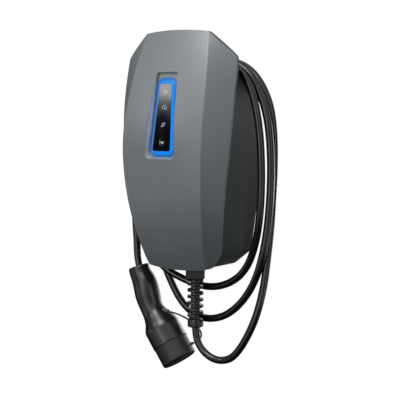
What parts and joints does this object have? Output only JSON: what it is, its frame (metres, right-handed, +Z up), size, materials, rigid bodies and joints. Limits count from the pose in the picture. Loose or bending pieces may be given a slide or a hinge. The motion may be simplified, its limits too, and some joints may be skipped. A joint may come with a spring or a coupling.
{
  "type": "ev wallbox",
  "caption": "Wall-mounted electric-vehicle charger: faceted moulded cover with a lit display, rear case with a cable saddle, tethered cable looped round it, and a capped plug.",
  "frame": {"origin": "middle of the wall bracket's bolt pattern, on the wall plane", "axes": "+Z up, +Y into the wall, +X to the right as seen from the front"},
  "size_m": [0.2782, 0.1314, 0.5661],
  "materials": {
    "cover_grey": "moulded, fine satin texture",
    "housing_charcoal": "moulded, fine texture",
    "light_guide": "frosted light guide lit blue from behind",
    "window_black": "polished, tinted",
    "seal_rubber": "soft rubber",
    "cable_black": "satin jacket",
    "grip_black": "satin moulded",
    "cap_black": "soft moulded",
    "insulator_black": "moulded",
    "gland_black": "moulded nylon",
    "board_green": "solder mask",
    "component_black": "moulded",
    "relay_grey": "moulded",
    "terminal_grey": "moulded",
    "shield_tin": "tinned sheet",
    "screw_steel": "zinc plated",
    "bracket_steel": "galvanised sheet",
    "contact_brass": "silvered brass"
  },
  "bodies": {
    "wallbox": {"front_cover": "cover_grey", "light_ring": "light_guide", "display_window": "window_black", "display_module": "component_black", "display_board": "board_green", "cover_gasket": "seal_rubber", "rear_housing": "housing_charcoal", "cover_screws": "screw_steel", "main_board": "board_green", "board_screws": "screw_steel", "power_relays": "relay_grey", "residual_current_sensor": "component_black", "power_supply_module": "component_black", "control_module": "shield_tin", "supply_terminal_block": "terminal_grey", "output_terminal_block": "terminal_grey", "terminal_screws": "screw_steel", "earth_bar": "contact_brass", "earth_screws": "screw_steel", "wall_bracket": "bracket_steel", "bracket_lock_screw": "screw_steel", "supply_grommet": "seal_rubber", "gland_seal": "seal_rubber", "gland_body": "gland_black", "gland_lock_nut": "gland_black", "gland_nut": "gland_black", "strain_relief": "cable_black", "charging_cable": "cable_black", "connector_handle": "grip_black", "connector_shroud": "insulator_black", "contact_carrier": "insulator_black", "contact_sleeves": "contact_brass", "connector_seal": "seal_rubber", "cap_tether": "cap_black"},
    "cap": {"dust_cap": "cap_black"}
  },
  "joints": [
    {"name": "cap_pull", "type": "slide", "parent": "wallbox", "child": "cap", "axis": [0.5736, 0, -0.8192], "range_m": [0, 0.04], "deforming": ["cap_tether"]}
  ]
}
